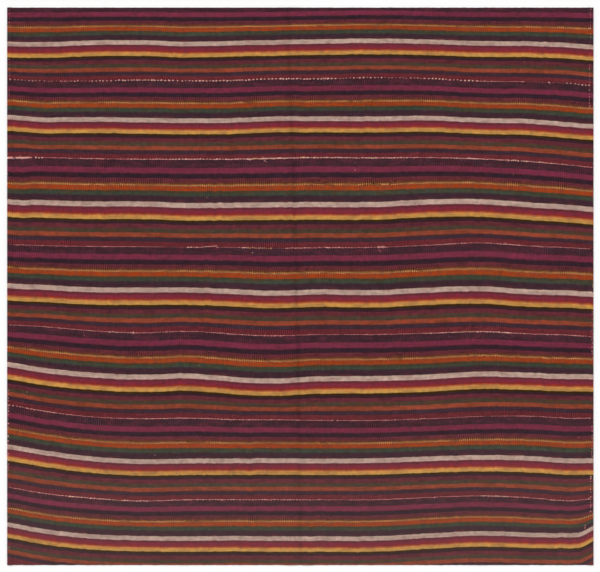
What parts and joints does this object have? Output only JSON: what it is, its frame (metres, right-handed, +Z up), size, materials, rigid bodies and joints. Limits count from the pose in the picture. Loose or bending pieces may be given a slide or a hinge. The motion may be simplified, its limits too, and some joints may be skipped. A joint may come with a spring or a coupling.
{
  "type": "kilim",
  "caption": "Flat, nearly square kilim of warp-faced striped strips sewn edge to edge, with narrow hems at both ends and a soft fold line across the middle.",
  "frame": {"origin": "middle of the kilim's outline, on the surface it lies on", "axes": "+X along the strips and their stripes, to the right in the picture; +Y across the strips, to the top of the picture; +Z up, out of the face that shows"},
  "size_m": [1.803, 1.714, 0.0047],
  "materials": {
    "striped_wool": "matt handspun wool in narrow stripes of plum, maroon, navy, orange, green, pale pink, crimson and yellow",
    "seam_yarn": "matt pale yarn of the seam and hem stitches"
  },
  "bodies": {
    "root": {"strip_1": "striped_wool", "strip_2": "striped_wool", "strip_3": "striped_wool", "strip_4": "striped_wool", "strip_5": "striped_wool", "strip_6": "striped_wool", "strip_7": "striped_wool"}
  },
  "joints": []
}
